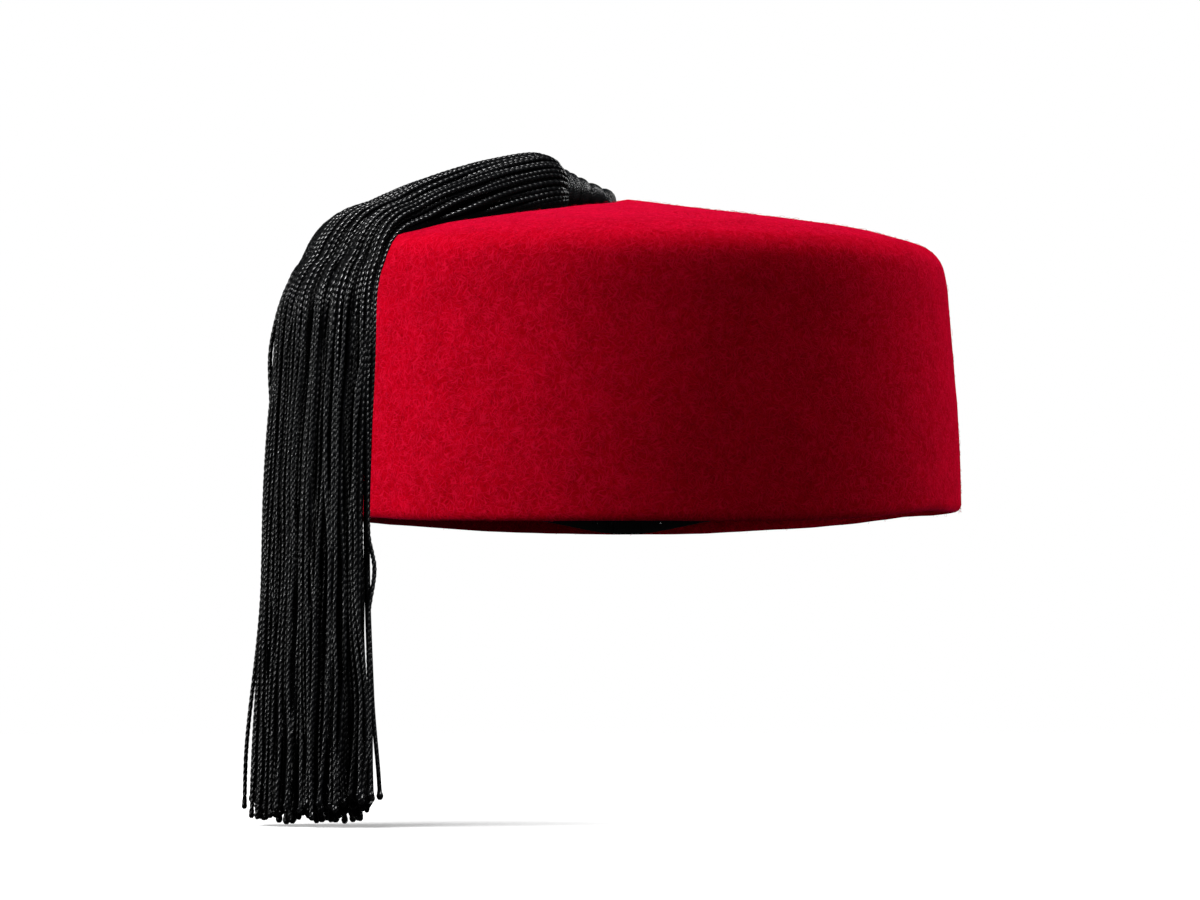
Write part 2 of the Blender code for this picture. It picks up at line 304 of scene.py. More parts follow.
def woolFelt():
    # Milled wool felt: matt, with a short nap whose fine hairs lie every way and glow pink at a glance.
    material, tree, shader = newMaterial("milledWoolFelt")
    place = objectPlace(tree)
    # the wall is unrolled round the crown and the top is read from above, so hairs keep their length on both
    split = addNode(tree, "ShaderNodeSeparateXYZ", None, {0: place})
    turn = calc(tree, "ARCTAN2", split.outputs[1], split.outputs[0])
    around = calc(tree, "MULTIPLY", turn, crown["rimRadius"])
    wall = addNode(tree, "ShaderNodeCombineXYZ", None, {0: around, 1: split.outputs[2]})
    top = addNode(tree, "ShaderNodeCombineXYZ", None, {0: split.outputs[0], 1: split.outputs[1]})
    upper = addNode(tree, "ShaderNodeMapRange", {"interpolation_type": "SMOOTHSTEP"},
                    {"Value": split.outputs[2], "From Min": 0.074, "From Max": 0.081})
    hairs = addNode(tree, "ShaderNodeMix", {"data_type": "FLOAT"},
                    {0: upper, 2: hairLines(tree, wall, 0.0), 3: hairLines(tree, top, 9.0)})
    # the dye takes a little unevenly, in clouds about 9 mm across; pits of 0.6 mm in the nap get painted
    # shade, darker where the bump sets them lower
    cloud = noiseNode(tree, place, 110.0, 4.0)
    connect(tree, cloud, {"Roughness": 0.62})
    speck = noiseNode(tree, place, 1500.0, 2.0)
    pitShade = addNode(tree, "ShaderNodeMapRange", None,
                    {"Value": speck, "From Min": 0.28, "From Max": 0.50, "To Min": 0.70, "To Max": 1.0})
    dye = dyeRamp(tree, cloud, 0.34, feltColours["shade"], 0.68, feltColours["dye"])
    deep = calcVector(tree, "SCALE", dye, pitShade)
    # the hair pattern is the nap's own; its paler colour is painted light through and on the thin hairs
    paintedHairLight = calc(tree, "MULTIPLY", hairs, 0.43)
    mix = addNode(tree, "ShaderNodeMix", {"data_type": "RGBA"},
                  {0: paintedHairLight, 6: deep, 7: hexColour(feltColours["hair"])})
    rough = calc(tree, "MULTIPLY_ADD", speck, 0.10, 0.88)
    lumps = calc(tree, "MULTIPLY_ADD", hairs, 0.9, speck)
    bump = bumpNode(tree, lumps, 0.40, 0.00012)
    soft = bumpNode(tree, cloud, 0.25, 0.0006, bump)
    connect(tree, shader, {
        "Base Color": mix.outputs[2], "Roughness": rough, "Normal": soft, "Specular IOR Level": 0.0,
        "Sheen Weight": 0.22, "Sheen Roughness": 0.30, "Sheen Tint": hexColour(feltColours["sheen"])})
    return material


def woolFibre():
    # Loose wool fibre on the felt: thin and a little paler, because light passes through it.
    material, tree, shader = newMaterial("looseWoolFibre")
    place = objectPlace(tree)
    patch = noiseNode(tree, place, 400.0, 2.0)
    dye = dyeRamp(tree, patch, 0.35, feltColours["fibre"], 0.68, feltColours["paleFibre"])
    connect(tree, shader, {"Base Color": dye, "Roughness": 0.8, "Specular IOR Level": 0.02,
                           "Sheen Weight": 0.3, "Sheen Tint": hexColour(feltColours["fibreSheen"])})
    return material


def rayonCord(name, dark, light, specular, depth):
    # Twisted rayon cord: black, with a satin gleam on each ply and dull hollows between them.
    material, tree, shader = newMaterial(name)
    place = objectPlace(tree)
    # each cord takes the dye and the light a little differently, as does every few millimetres of it
    strand = noiseNode(tree, place, 420.0, 2.0)
    thread = noiseNode(tree, place, 3200.0, 2.0)
    # the plies wind round the cord, by the place on its section and the turns made so far
    side = addNode(tree, "ShaderNodeAttribute", {"attribute_type": "GEOMETRY", "attribute_name": "side"})
    wound = addNode(tree, "ShaderNodeAttribute", {"attribute_type": "GEOMETRY", "attribute_name": "wound"})
    ply = plyRidge(tree, side.outputs["Vector"], wound.outputs["Fac"])
    dye = dyeRamp(tree, strand, 0.32, dark, 0.70, light)
    rough = calc(tree, "MULTIPLY_ADD", thread, 0.22, 0.28)
    rough = calc(tree, "MULTIPLY_ADD", ply, -0.12, rough)
    plies = bumpNode(tree, ply, 1.0, depth)
    bump = bumpNode(tree, thread, 0.5, 0.00006, plies)
    connect(tree, shader, {"Base Color": dye, "Roughness": rough, "Normal": bump,
                           "Specular IOR Level": specular})
    return material


def grosgrain():
    # Black grosgrain ribbon: close ribs 0.9 mm apart across its width, with a low gleam on each.
    material, tree, shader = newMaterial("grosgrainRibbon")
    flat = addNode(tree, "ShaderNodeUVMap", {"uv_map": "ribbon"})
    split = addNode(tree, "ShaderNodeSeparateXYZ", None, {0: flat})
    turn = calc(tree, "MULTIPLY", split.outputs[0], 2 * math.pi / 0.0009)
    rib = calc(tree, "SINE", turn)
    weft = noiseNode(tree, objectPlace(tree), 1800.0, 2.0)
    height = calc(tree, "MULTIPLY_ADD", weft, 0.8, rib)
    bump = bumpNode(tree, height, 0.7, 0.00012)
    dye = dyeRamp(tree, weft, 0.0, "#0B0C0E", 1.0, "#1C1D20")
    connect(tree, shader, {"Base Color": dye, "Normal": bump, "Roughness": 0.48, "Specular IOR Level": 0.4,
                           "Sheen Weight": 0.15})
    return material


feltMaterial = woolFelt()
fibreMaterial = woolFibre()
cordMaterial = rayonCord("twistedRayonCord", "#010102", "#060709", 0.40, 0.00014)
# painted shade: a darker, less glossy copy of the same cord, for cords deep in the bundle where shade falls
deepShadedCordMaterial = rayonCord("deepShadedRayonCord", "#010101", "#040405", 0.12, 0.00014)
threadMaterial = rayonCord("rayonBindingThread", "#050607", "#101214", 0.40, 0.00006)
ribbonMaterial = grosgrain()


# Felt crown

def cordHolePlace():
    side = np.array([-math.cos(tassel["angle"]), -math.sin(tassel["angle"])])
    return side * crownAt(tasselCord["holeFromMiddle"])[0]


def feltCrown():
    # One moulded felt wall, a little uneven, with a soft rolled edge at the rim.
    wall = crown["wall"]
    outer = outlineLength * np.linspace(0.0, 1.0, crown["outerRows"] + 1)[1:-1]
    outer = outer[outer < outlineLength - crown["edgeOutside"] - 0.0004]
    profile = [tuple(p) for p in crownAt(outer)]
    # the cut edge is rounder outside, where hands have worn it, than inside
    middle = np.array([crown["rimRadius"] - crown["edgeOutside"], crown["edgeOutside"]])
    for turn in np.radians([8, 22, 38, 54, 72, 90]):
        profile.append(tuple(middle + crown["edgeOutside"] * np.array([math.cos(turn), -math.sin(turn)])))
    middle = np.array([crown["rimRadius"] - wall + crown["edgeInside"], crown["edgeInside"]])
    for turn in np.radians([90, 120, 150, 176]):
        profile.append(tuple(middle + crown["edgeInside"] * np.array([math.cos(turn), -math.sin(turn)])))
    inner = np.linspace(outer[-1], outer[0], crown["innerRows"])
    profile += [tuple(p) for p in crownAt(inner) - wall * crownNormal(inner)]
    profile = np.array(profile)
    angles = np.linspace(0, 2 * math.pi, crown["turns"], endpoint=False)
    points = onCrown(profile[:, 0, None], profile[:, 1, None], angles[None, :])
    count = len(profile)
    top = np.array([0.0, 0.0, crownAt(0.0)[1]])
    under = np.array([0.0, 0.0, crownAt(0.0)[1] - wall])
    flat = points.reshape(-1, 3)
    faces = gridFaces(count, crown["turns"])
    ends = len(flat)
    for c in range(crown["turns"]):
        d = (c + 1) % crown["turns"]
        faces.append((c, ends, d))
        faces.append(((count - 1) * crown["turns"] + d, ends + 1, (count - 1) * crown["turns"] + c))
    moved = np.vstack([flat, top, under])
    piece = meshObject("feltCrown", moved, flipped(faces), feltMaterial)
    # blocked by hand, so no two places are quite alike
    hole = cordHolePlace()
    mesh = piece.data
    normals = np.empty(len(mesh.vertices) * 3)
    mesh.vertex_normals.foreach_get("vector", normals)
    normals = normals.reshape(-1, 3)
    for k, p in enumerate(moved):
        wide = noise.noise(Vector(p) * 38.0)
        fine = noise.noise(Vector(p) * 150.0 + Vector((7.0, 3.0, 1.0)))
        near = math.hypot(p[0] - hole[0], p[1] - hole[1])
        dimple = 0.0
        if p[2] > 0.085 and normals[k][2] > 0:
            dimple = crown["dimpleDepth"] * math.exp(-((near / crown["dimpleRadius"]) ** 2))
        moved[k] = p + normals[k] * (crown["unevenness"] * (wide + 0.35 * fine) - dimple)
    mesh.vertices.foreach_set("co", moved.ravel())
    mesh.update()
    return piece


def fibreTree():
    # Curled fibres laid at random over a surface, half sunk in it.
    tree, given = newTree("feltFibres", [
        ("Density", "Float", 200000.0), ("Longest radius", "Float", 0.0013), ("Thickness", "Float", 0.00004),
        ("Lean", "Float", 0.35), ("Seed", "Int", 1), ("Material", "Material", None)])
    spread = addNode(tree, "GeometryNodeDistributePointsOnFaces", {"distribute_method": "RANDOM"},
                     {"Mesh": given["Geometry"], "Density": given["Density"], "Seed": given["Seed"]})
    joined = addNode(tree, "GeometryNodeJoinGeometry")
    section = addNode(tree, "GeometryNodeCurvePrimitiveCircle", {"mode": "RADIUS"},
                      {"Resolution": 3, "Radius": given["Thickness"]})
    for share, sweep in ((1.0, 95.0), (0.75, 130.0), (0.5, 190.0), (0.42, 250.0)):
        radius = calc(tree, "MULTIPLY", given["Longest radius"], share)
        arc = addNode(tree, "GeometryNodeCurveArc", {"mode": "RADIUS"},
                      {"Resolution": 4 if sweep < 150 else 5, "Radius": radius,
                       "Start Angle": math.radians(90 - sweep / 2), "Sweep Angle": math.radians(sweep)})
        hair = addNode(tree, "GeometryNodeCurveToMesh", None,
                       {"Curve": arc, "Profile Curve": section, "Fill Caps": True})
        lone = addNode(tree, "GeometryNodeGeometryToInstance", None, {"Geometry": hair})
        tree.links.new(lone.outputs[0], joined.inputs[0])
    upright = addNode(tree, "FunctionNodeAlignRotationToVector", {"axis": "Z"},
                      {"Vector": spread.outputs["Normal"]})
    spin = randomValue(tree, 0.0, 2 * math.pi, given["Seed"])
    lowest = calc(tree, "MULTIPLY", given["Lean"], -1.0)
    lean = randomValue(tree, lowest, given["Lean"], given["Seed"])
    turned = addNode(tree, "ShaderNodeCombineXYZ", None, {"X": lean, "Z": spin})
    local = addNode(tree, "FunctionNodeRotateRotation", {"rotation_space": "LOCAL"},
                    {"Rotation": upright, "Rotate By": turned})
    size = randomValue(tree, 0.55, 1.15, given["Seed"])
    laid = addNode(tree, "GeometryNodeInstanceOnPoints", None,
                   {"Points": spread.outputs["Points"], "Instance": joined, "Pick Instance": True,
                    "Rotation": local, "Scale": size})
    return giveOut(tree, laid, given["Material"])


def fibreHost(name, low, high, turns=120, rows=40):
    # A stretch of the felt's outer surface, which its fibres are laid on.
    distances = np.linspace(low, high, rows)
    profile = crownAt(distances)
    angles = np.linspace(0, 2 * math.pi, turns, endpoint=False)
    points = onCrown(profile[:, 0, None], profile[:, 1, None], angles[None, :]).reshape(-1, 3)
    return meshObject(name, points, flipped(gridFaces(rows, turns)), fibreMaterial)


nap = {
    "wallDensity": 100000.0,  # fibres on a square metre
    "topDensity": 150000.0,
    "rimDensity": 420000.0,
    "curlRadius": 0.0011,  # about 2 mm of fibre
    "thickness": 0.00003,
}

tassel = {
    "start": 0.0238,  # along the crown, from its middle
    "angle": math.radians(33),  # turned from -X towards the front
    "fallWidth": 0.047,
    "fallThickness": 0.018,
    "belowRim": 0.083,
    "standoff": 0.0006,
    "sideRise": 0.0050,
    "tipSpread": 0.0042,
    "sections": [  # share along, and shares of the fall's half width and half depth
        (0.000, 0.250, 0.67), (0.006, 0.350, 0.79), (0.018, 0.420, 0.90), (0.038, 0.460, 0.945),
        (0.090, 0.530, 0.915), (0.150, 0.640, 0.82), (0.210, 0.730, 0.69), (0.255, 0.790, 0.59),
        (0.300, 0.840, 0.60), (0.335, 0.880, 0.83), (0.370, 0.930, 1.00), (0.410, 0.970, 1.03),
        (0.470, 0.990, 1.03), (0.640, 1.030, 1.08), (0.820, 1.110, 1.17), (1.000, 1.230, 1.26)],
    "cordRadius": 0.00068,
    "outerCords": 58,
    "layers": [(66, 0.0022), (44, 0.0040), (22, 0.0058)],  # cords below the outer ones, and how far below
    "plyPitch": 0.0036,
    "strays": [  # side, how far out, and where each leaves, is farthest and is back
        (-1, 0.0022, 0.70, 0.95, 1.30), (1, 0.0014, 0.84, 0.99, 1.30),
        (-1, 0.0019, 0.34, 0.43, 0.52), (1, 0.0014, 0.645, 0.69, 0.75)],
    "stationStep": 0.00066,
    "hollow": 0.00023,
}

tasselCord = {
    "radius": 0.0018,
    "holeFromMiddle": 0.0072,
    "plyPitch": 0.0075,
    "drop": 0.0060,  # how far it goes down to its knot
    "knotSize": 0.00088,
    "knotBelow": 0.0078,
    "knotThickness": 0.72,  # of the cord's own
}

binding = {
    "headRadius": 0.0062,
    "cordRadius": 0.0028,
    "path": [  # along the crown from its middle, and above the felt
        (0.0235, 0.0054), (0.0200, 0.0044), (0.0160, 0.0033), (0.0122, 0.0023), (0.0096, 0.0016),
        (0.0078, 0.0007), (0.0071, -0.0006), (0.0070, -0.0020)],
    "lobeEnds": [0.0, 0.0025, 0.0056, 0.0098, 0.0145, 0.0190],  # from the head end
    "groove": 0.0010,
    "threadRadius": 0.00030,
    "threadPitch": 0.00050,
    "lean": 0.0008,
}

felt = feltCrown()
print("felt crown made")
fibres = fibreTree()
fibrePieces = []
for label, low, high, density, lean, seed in (
        ("feltNapWall", 0.094, outlineLength - 0.0005, nap["wallDensity"], 0.45, 3),
        ("feltNapTop", 0.004, 0.094, nap["topDensity"], 0.45, 5),
        ("feltNapRim", outlineLength - 0.0012, outlineLength, nap["rimDensity"], 0.8, 8)):
    host = fibreHost(label, low, high)
    curl = nap["curlRadius"] * (0.5 if label == "feltNapRim" else 1.0)
    finishNodes(host, fibres, {"Density": density, "Longest radius": curl, "Thickness": nap["thickness"],
                               "Lean": lean, "Seed": seed, "Material": fibreMaterial})
    fibrePieces.append(host)
    print(label, len(host.data.polygons), "faces")


# Cords, which all come from one tree

def cordTree():
    # Round or lobed cords along lines. They keep their turns and the place on their section.
    tree, given = newTree("twistedCords", [
        ("Radius", "Float", 0.0007), ("Plies", "Int", 2), ("Groove", "Float", 0.0),
        ("Ply pitch", "Float", 0.004), ("Turned", "Float", 0.0), ("Hollow", "Float", 0.0),
        ("Section points", "Int", 8), ("Material", "Material", None)])
    lines = addNode(tree, "GeometryNodeMeshToCurve", None, {"Mesh": given["Geometry"]})
    thick = attribute(tree, "thick")
    phase = attribute(tree, "phase")
    along = addNode(tree, "GeometryNodeSplineParameter")
    turns = calc(tree, "DIVIDE", along.outputs["Length"], given["Ply pitch"])
    rate = attribute(tree, "rate")
    turns = calc(tree, "MULTIPLY", turns, rate)
    turns = calc(tree, "MULTIPLY_ADD", turns, 2 * math.pi, phase)
    # the twist is never quite even along a cord
    loose = addNode(tree, "ShaderNodeTexNoise", None, {"Scale": 170.0, "Detail": 1.0})
    turns = calc(tree, "MULTIPLY_ADD", loose, 3.5, turns)
    kept = addNode(tree, "GeometryNodeStoreNamedAttribute", {"data_type": "FLOAT", "domain": "POINT"},
                   {"Geometry": lines, "Name": "wound", "Value": turns})
    tilt = calc(tree, "MULTIPLY", turns, given["Turned"])
    twisted = addNode(tree, "GeometryNodeSetCurveTilt", None, {"Curve": kept, "Tilt": tilt})
    ring = addNode(tree, "GeometryNodeCurvePrimitiveCircle", {"mode": "RADIUS"},
                   {"Resolution": given["Section points"], "Radius": 1.0})
    at = addNode(tree, "GeometryNodeInputPosition")
    sided = addNode(tree, "GeometryNodeStoreNamedAttribute",
                    {"data_type": "FLOAT_VECTOR", "domain": "POINT"},
                    {"Geometry": ring, "Name": "side", "Value": at})
    # the section: full on each ply and drawn in between them
    split = addNode(tree, "ShaderNodeSeparateXYZ", None, {0: at})
    angle = calc(tree, "ARCTAN2", split.outputs[1], split.outputs[0])
    angle = calc(tree, "MULTIPLY", angle, given["Plies"])
    wave = calc(tree, "COSINE", angle)
    wave = calc(tree, "MULTIPLY_ADD", wave, 0.5, -0.5)
    drawn = calc(tree, "MULTIPLY_ADD", wave, given["Groove"], 1.0)
    drawn = calc(tree, "MULTIPLY", drawn, given["Radius"])
    shape = calcVector(tree, "SCALE", at, drawn)
    section = addNode(tree, "GeometryNodeSetPosition", None, {"Geometry": sided, "Position": shape})
    swept = addNode(tree, "GeometryNodeCurveToMesh", None,
                    {"Curve": twisted, "Profile Curve": section, "Scale": thick, "Fill Caps": True})
    # a round cord sinks a little between its plies
    side = attribute(tree, "side", "FLOAT_VECTOR")
    wound = attribute(tree, "wound")
    low = calc(tree, "SUBTRACT", plyRidge(tree, side, wound), 1.0)
    low = calc(tree, "MULTIPLY", low, given["Hollow"])
    inward = calcVector(tree, "SCALE", addNode(tree, "GeometryNodeInputNormal"), low)
    lumpy = addNode(tree, "GeometryNodeSetPosition", None, {"Geometry": swept, "Offset": inward})
    soft = addNode(tree, "GeometryNodeSetShadeSmooth", None, {"Geometry": lumpy})
    return giveOut(tree, soft, given["Material"])


def lineHost(label, lines):
    # Lines of points as edges, each with its thickness and its own turn of the plies.
    points = np.vstack([line["points"] for line in lines])
    edges = []
    start = 0
    for line in lines:
        edges += [(start + k, start + k + 1) for k in range(len(line["points"]) - 1)]
        start += len(line["points"])
    mesh = bpy.data.meshes.new(label)
    mesh.from_pydata([tuple(p) for p in points], edges, [])
    for name in ("thick", "phase", "rate"):
        values = np.concatenate([np.full(len(line["points"]), line[name]) for line in lines])
        mesh.attributes.new(name, "FLOAT", "POINT").data.foreach_set("value", values.astype(np.float32))
    piece = bpy.data.objects.new(label, mesh)
    scene.collection.objects.link(piece)
    return piece


def plainLine(points, thick=1.0):
    return {"points": points, "phase": 0.0, "rate": 1.0, "thick": thick}


cords = cordTree()
tasselTotal = outlineLength + tassel["belowRim"] - tassel["start"]
sectionTable = curveThrough(tassel["sections"], 6)


def aboveFelt(distance, height):
    return crownAt(distance) + crownNormal(distance) * np.asarray(height)[..., None]


def towardsTassel(flat, across):
    # Places by how far they are from the crown's middle, how high, and how far to the side.
    cosine, sine = math.cos(tassel["angle"]), math.sin(tassel["angle"])
    return np.stack([-cosine * flat[..., 0] + sine * across, -sine * flat[..., 0] - cosine * across,
                     flat[..., 1]], -1)


def tasselPoint(share, across, out):
    # A place in the tassel: how far along it, to the side, and above the felt.
    distance = tassel["start"] + tasselTotal * share
    flat = aboveFelt(distance, out)
    reach, level = flat[..., 0], flat[..., 1]
    straight = towardsTassel(flat, across)
    halfWidth = np.interp(share, sectionTable[:, 0], sectionTable[:, 1]) * tassel["fallWidth"] / 2
    behind = tassel["angle"] - math.pi
    swing = behind + across / np.maximum(reach, halfWidth)
    wrapped = np.stack([reach * np.cos(swing), reach * np.sin(swing), level], -1)
    wrap = smoothStep(0.16, 0.34, share)[..., None]
    return straight * (1 - wrap) + wrapped * wrap


def sectionPlaces(halfWidth, halfDepth, flat, fractions):
    # Places round the bundle's section by shares of its length; flat draws its underside level.
    turns = np.linspace(0.0, 2 * math.pi, 481)
    rise = np.sin(turns)
    rise = np.where(rise < 0, -np.abs(rise) ** (1.0 - 0.6 * flat), rise)
    outline = np.stack([halfWidth * np.cos(turns), halfDepth * rise], -1)
    lengths = runLengths(outline)
    at = (np.asarray(fractions) % 1.0) * lengths[-1]
    return np.stack([np.interp(at, lengths, outline[:, k]) for k in range(2)], -1), lengths[-1]


def layCords(count, below, seed, outer):
    # Lines of one layer of cords, from the binding over the dome and down to their looped ends.
    random = np.random.default_rng(seed)
    lines = []
    order = (np.arange(count) * 0.381966 + 0.13) % 1.0  # how soon each comes to the surface
    radius = tassel["cordRadius"]
    shares = np.linspace(-0.006, 1.0, int(tasselTotal * 1.006 / tassel["stationStep"]))
    halfWidths = np.interp(shares, sectionTable[:, 0], sectionTable[:, 1]) * tassel["fallWidth"] / 2
    halfDepths = np.interp(shares, sectionTable[:, 0], sectionTable[:, 2]) * tassel["fallThickness"] / 2
    narrow = 1.0 - 0.45 * smoothStep(0.004, -0.006, shares)
    halfWidths, halfDepths = halfWidths * narrow, halfDepths * narrow
    grow = smoothStep(0.0, 0.25, shares)
    waves = random.uniform(0, 2 * math.pi, (count, 4))
    sizes = random.normal(0, 1, (count, 4))
    across = np.zeros((count, len(shares)))
    out = np.zeros((count, len(shares)))
    for m, share in enumerate(shares):
        wide = max(halfWidths[m] - radius - below * min(1.0, halfWidths[m] / 0.020), radius)
        deep = max(halfDepths[m] - radius - below * min(1.0, halfDepths[m] / 0.0085), radius * 0.6)
        # on the dome the bundle's underside lies flat on the felt
        flat = float(1.0 - smoothStep(0.20, 0.38, share))
        _, whole = sectionPlaces(wide, deep, flat, [0.0])
        drift = sum(size * np.sin(2 * math.pi * share * cycles + wave) for size, wave, cycles in zip(
            sizes.T * np.array([0.45, 0.40, 0.22, 0.12])[:, None], waves.T, (0.9, 2.1, 4.3, 7.9)))
        drift = drift * 0.00105 * (0.25 + grow[m] + 0.9 * smoothStep(0.75, 1.0, share))
        # neighbours gather into loose locks on the way down
        gather = 0.0007 * grow[m] * np.sin(2 * math.pi * (np.arange(count) / count * 15 + 0.7 * share))
        # the head is wrung a little round its own length
        wrung = 0.07 * (1 - smoothStep(0.0, 0.32, share))
        fractions = (np.arange(count) + 0.5) / count + (drift + gather) / whole + wrung
        places, _ = sectionPlaces(wide, deep, flat, fractions)
        sink = np.zeros(count)
        if outer:
            room = min(1.0, max(0.33, whole / (count * 2 * radius * 0.98)))
            sink = 2.1 * radius * smoothStep(room - 0.10, room + 0.12, order) * (1 - 0.75 * grow[m])
            sink = sink * (1 - flat * smoothStep(-0.15, -0.5, places[:, 1] / deep))
            # which cords lie proud and which lie deep changes slowly on the way down
            rank = np.clip(order + 0.16 * np.sin(2 * math.pi * share * 1.7 + waves[:, 2]), 0.0, 1.0)
            deeper = 0.9 * rank + 2.2 * smoothStep(0.55, 0.75, rank) - 0.1
            sink = sink + (0.3 + 0.7 * grow[m]) * radius * deeper
        sink = sink + 0.0002 * sizes[:, 3] * np.sin(2 * math.pi * share * 3.1 + waves[:, 1])
        across[:, m] = places[:, 0] * (1 - np.minimum(sink / wide, 0.7))
        level = tassel["standoff"] * (1 - flat) + halfDepths[m] - 0.0005 * flat
        out[:, m] = level + places[:, 1] * (1 - np.minimum(sink / deep, 0.7))
    if outer:
        taken = []
        sine, cosine = math.sin(tassel["angle"]), math.cos(tassel["angle"])
        for side, far, leaves, farthest, back in tassel["strays"]:
            m = int(np.argmin(np.abs(shares - min(farthest, 0.97))))
            sideOrder = np.argsort(side * (cosine * out[:, m] - sine * across[:, m]))
            k = next(k for k in sideOrder if k not in taken)
            taken.append(k)
            gone = smoothStep(leaves, farthest, shares) * (1 - smoothStep(farthest, back, shares))
            across[k] += side * far * gone * sine
            out[k] -= side * far * gone * cosine
    middleTurn = np.arctan2(out[:, -1] - tassel["standoff"] - halfDepths[-1],
                            across[:, -1] * halfDepths[-1] / halfWidths[-1])
    for k in range(count):
        points = tasselPoint(shares, across[k], out[k])
        shorter = tassel["tipSpread"] * random.random() ** 1.3
        shorter += tassel["sideRise"] * abs(math.cos(middleTurn[k])) ** 2.5
        end = 1.0 - (shorter + 0.0001) / tasselTotal
        keep = shares < end - 0.0004
        last = tasselPoint(np.array([end]), np.array([np.interp(end, shares, across[k])]),
                           np.array([np.interp(end, shares, out[k])]))
        points = np.vstack([points[keep], last])
        lines.append({"points": points, "phase": random.uniform(0, 6.28), "rate": random.uniform(0.86, 1.18),
                      "facing": math.sin(middleTurn[k])})
    return lines


def endLoops(line, random):
    # Thickness along a cord: full, and swollen at its end where the yarn doubles back in a small loop.
    points = line["points"]
    steps = np.linalg.norm(np.diff(points, axis=0), axis=1)
    left = np.concatenate([np.cumsum(steps[::-1])[::-1], [0.0]])
    # extra stations near the end, for its round form
    total = left[0]
    stations = [0.0033, 0.0028, 0.0023, 0.0018, 0.0014, 0.0010, 0.0006, 0.0003, 0.0]
    wanted = np.concatenate([left[left > 0.0036], np.array(stations)])
    along = total - left
    dense = np.stack([np.interp(total - wanted, along, points[:, k]) for k in range(3)], -1)
    swell = random.uniform(1.30, 1.62)
    thick = 1.0 + (swell - 1.0) * np.exp(-(((wanted - 0.0010) / 0.0011) ** 2))
    thick = thick * np.interp(wanted, [0.0, 0.0003, 0.0007, 0.0012], [0.50, 0.80, 0.98, 1.0])
    # the cords are looser, and so thicker, at the head
    thick = thick * (1.2 - 0.2 * smoothStep(0.06, 0.34, (total - wanted) / total))
    line["points"], line["thick"] = dense, thick * random.uniform(0.88, 1.10)
    return line


cordLines = layCords(tassel["outerCords"], 0.0, 11, True)
innerLines = []
for layer, (count, below) in enumerate(tassel["layers"]):
    innerLines.append(layCords(count, below, 31 + layer, False))
loops = np.random.default_rng(77)
for line in cordLines + sum(innerLines, []):
    endLoops(line, loops)
seen = [line for line in cordLines if line["facing"] > -0.56]
under = [line for line in cordLines if line["facing"] <= -0.56]
seenBelow = [line for line in innerLines[0] if line["facing"] > -0.1]
hidden = [line for line in innerLines[0] if line["facing"] <= -0.1] + innerLines[1] + innerLines[2]
half = math.ceil(len(seen) / 2)
for line, step in [(line, 4) for line in hidden + under] + [(line, 2) for line in seenBelow]:
    keep = np.r_[0:len(line["points"]) - 9:step, len(line["points"]) - 9:len(line["points"])]
    line["points"], line["thick"] = line["points"][keep], line["thick"][keep]
cordPieces = []
for label, lines, sides, hollow, material in (
        ("tasselCordsLeft", seen[:half], 8, tassel["hollow"], cordMaterial),
        ("tasselCordsRight", seen[half:], 8, tassel["hollow"], cordMaterial),
        ("tasselCordsBelow", seenBelow, 8, 0.0, deepShadedCordMaterial),
        ("tasselCordsInside", hidden, 6, 0.0, deepShadedCordMaterial),
        ("tasselCordsAgainstFelt", under, 6, 0.0, cordMaterial)):
    host = lineHost(label, lines)
    finishNodes(host, cords, {"Radius": tassel["cordRadius"], "Ply pitch": tassel["plyPitch"],
                              "Section points": sides, "Hollow": hollow, "Material": material})
    host.data.materials.clear()
    host.data.materials.append(material)
    cordPieces.append(host)
    print(label, len(lines), "cords", sum(len(f.vertices) - 2 for f in host.data.polygons), "triangles")


# Wound binding

bindingPath = curveThrough(binding["path"], 16)
bindingRun = runLengths(bindingPath)


def pathPlace(run):
    run = np.clip(run, 0.0, bindingRun[-1])
    return np.stack([np.interp(run, bindingRun, bindingPath[:, k]) for k in range(2)], -1)


def bindingAt(run, radius, turn):
    # A place on the winding: how far along from the head end, how far out, and which way round.
    run = np.clip(run, 0.0, bindingRun[-1])  # the winding's lean reaches a little past both ends
    centre = pathPlace(run)
    ahead = pathPlace(run + 0.0006) - pathPlace(run - 0.0006)
    ahead = ahead / np.linalg.norm(ahead, axis=-1)[..., None]
    upward = np.stack([ahead[..., 1], -ahead[..., 0]], -1)
    flat = centre + upward * (radius * np.sin(turn))[..., None]
    return towardsTassel(aboveFelt(flat[..., 0], flat[..., 1]), radius * np.cos(turn))


def bindingRadius(run):
    # Full on each lobe and drawn in between them, narrower towards the felt.
    least = binding["cordRadius"]
    widest = np.interp(run, [0.0, 0.0125, 0.0160, bindingRun[-1]],
                       [binding["headRadius"], least + 0.0006, least + 0.0003, least])
    ends = np.array(binding["lobeEnds"])
    lobe = np.abs(np.sin(math.pi * np.interp(run, ends, np.arange(len(ends)))))
    return widest - binding["groove"] * (1 - lobe ** 0.7)


windings = bindingRun[-1] / binding["threadPitch"]
turn = np.linspace(0.0, 2 * math.pi * windings, int(windings * 26))
along = bindingRun[-1] * turn / turn[-1] + binding["lean"] * np.cos(turn + 0.8)
radius = bindingRadius(np.clip(along, 0, bindingRun[-1])) - binding["threadRadius"]
bindingPiece = lineHost("tasselBinding", [plainLine(bindingAt(along, radius, turn))])
finishNodes(bindingPiece, cords, {"Radius": binding["threadRadius"], "Ply pitch": 0.0015,
                                  "Section points": 6, "Material": threadMaterial})
coreRuns = np.linspace(0.0002, bindingRun[-1], 61)
coreTurns = np.linspace(0, 2 * math.pi, 28, endpoint=False)
inside = (bindingRadius(coreRuns) - 1.3 * binding["threadRadius"])[:, None] + 0 * coreTurns
core = bindingAt(coreRuns[:, None] + 0 * coreTurns, inside, coreTurns + 0 * inside).reshape(-1, 3)
